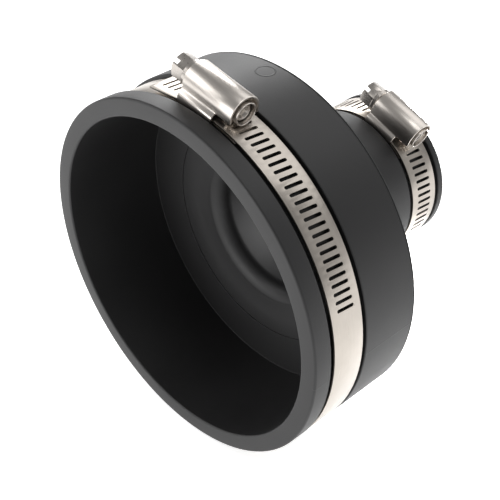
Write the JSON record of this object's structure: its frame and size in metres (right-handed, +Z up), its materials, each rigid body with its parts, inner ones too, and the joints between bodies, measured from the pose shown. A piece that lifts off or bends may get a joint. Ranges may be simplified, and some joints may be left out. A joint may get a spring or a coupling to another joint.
{
  "type": "pipe coupling",
  "caption": "Flexible rubber reducer coupling for drain pipe: a wide socket and a narrow neck, each with a perforated stainless worm-drive band clamp in its groove.",
  "frame": {"origin": "centre of the footprint on the surface the sleeve lies on, under the pipe axis and halfway along it", "axes": "+Y along the pipe axis from the wide socket's mouth to the neck's end, +Z up, +X to the right seen from the mouth"},
  "size_m": [0.1298, 0.107, 0.1416],
  "materials": {
    "black_rubber": "satin moulded",
    "stainless_band": "rolled strip",
    "stainless_housing": "stamped, polished",
    "stainless_screw": "machined"
  },
  "bodies": {
    "sleeve": {"sleeve": "black_rubber"},
    "large_clamp": {"large_housing": "stainless_housing", "large_saddle": "stainless_band", "large_band_fixed_end": "stainless_band"},
    "large_strip": {"large_band_strip": "stainless_band"},
    "large_worm": {"large_screw": "stainless_screw"},
    "small_clamp": {"small_housing": "stainless_housing", "small_saddle": "stainless_band", "small_band_fixed_end": "stainless_band"},
    "small_strip": {"small_band_strip": "stainless_band"},
    "small_worm": {"small_screw": "stainless_screw"}
  },
  "joints": [
    {"name": "large_clamp_turn", "type": "hinge", "parent": "sleeve", "child": "large_clamp", "pos_m": [0, -0.0386, 0.06494], "axis": [0, 1, 0], "continuous": true},
    {"name": "large_screw_turn", "type": "hinge", "parent": "large_clamp", "child": "large_worm", "pos_m": [0.01316, -0.0386, 0.13262], "axis": [0.9816, 0, -0.1908], "range_deg": [-1440, 3600]},
    {"name": "large_band_feed", "type": "hinge", "parent": "large_clamp", "child": "large_strip", "pos_m": [0, -0.0386, 0.06494], "axis": [0, -1, 0], "range_deg": [-9.6, 24]},
    {"name": "small_clamp_turn", "type": "hinge", "parent": "sleeve", "child": "small_clamp", "pos_m": [0, 0.0426, 0.06494], "axis": [0, 1, 0], "continuous": true},
    {"name": "small_screw_turn", "type": "hinge", "parent": "small_clamp", "child": "small_worm", "pos_m": [0.01117, 0.0426, 0.09562], "axis": [0.9397, 0, -0.342], "range_deg": [-1440, 3600]},
    {"name": "small_band_feed", "type": "hinge", "parent": "small_clamp", "child": "small_strip", "pos_m": [0, 0.0426, 0.06494], "axis": [0, -1, 0], "range_deg": [-22, 55]}
  ],
  "couplings": [
    {"joint": "large_band_feed", "follows": "large_screw_turn", "ratio": 0.0066649},
    {"joint": "small_band_feed", "follows": "small_screw_turn", "ratio": 0.015252}
  ]
}
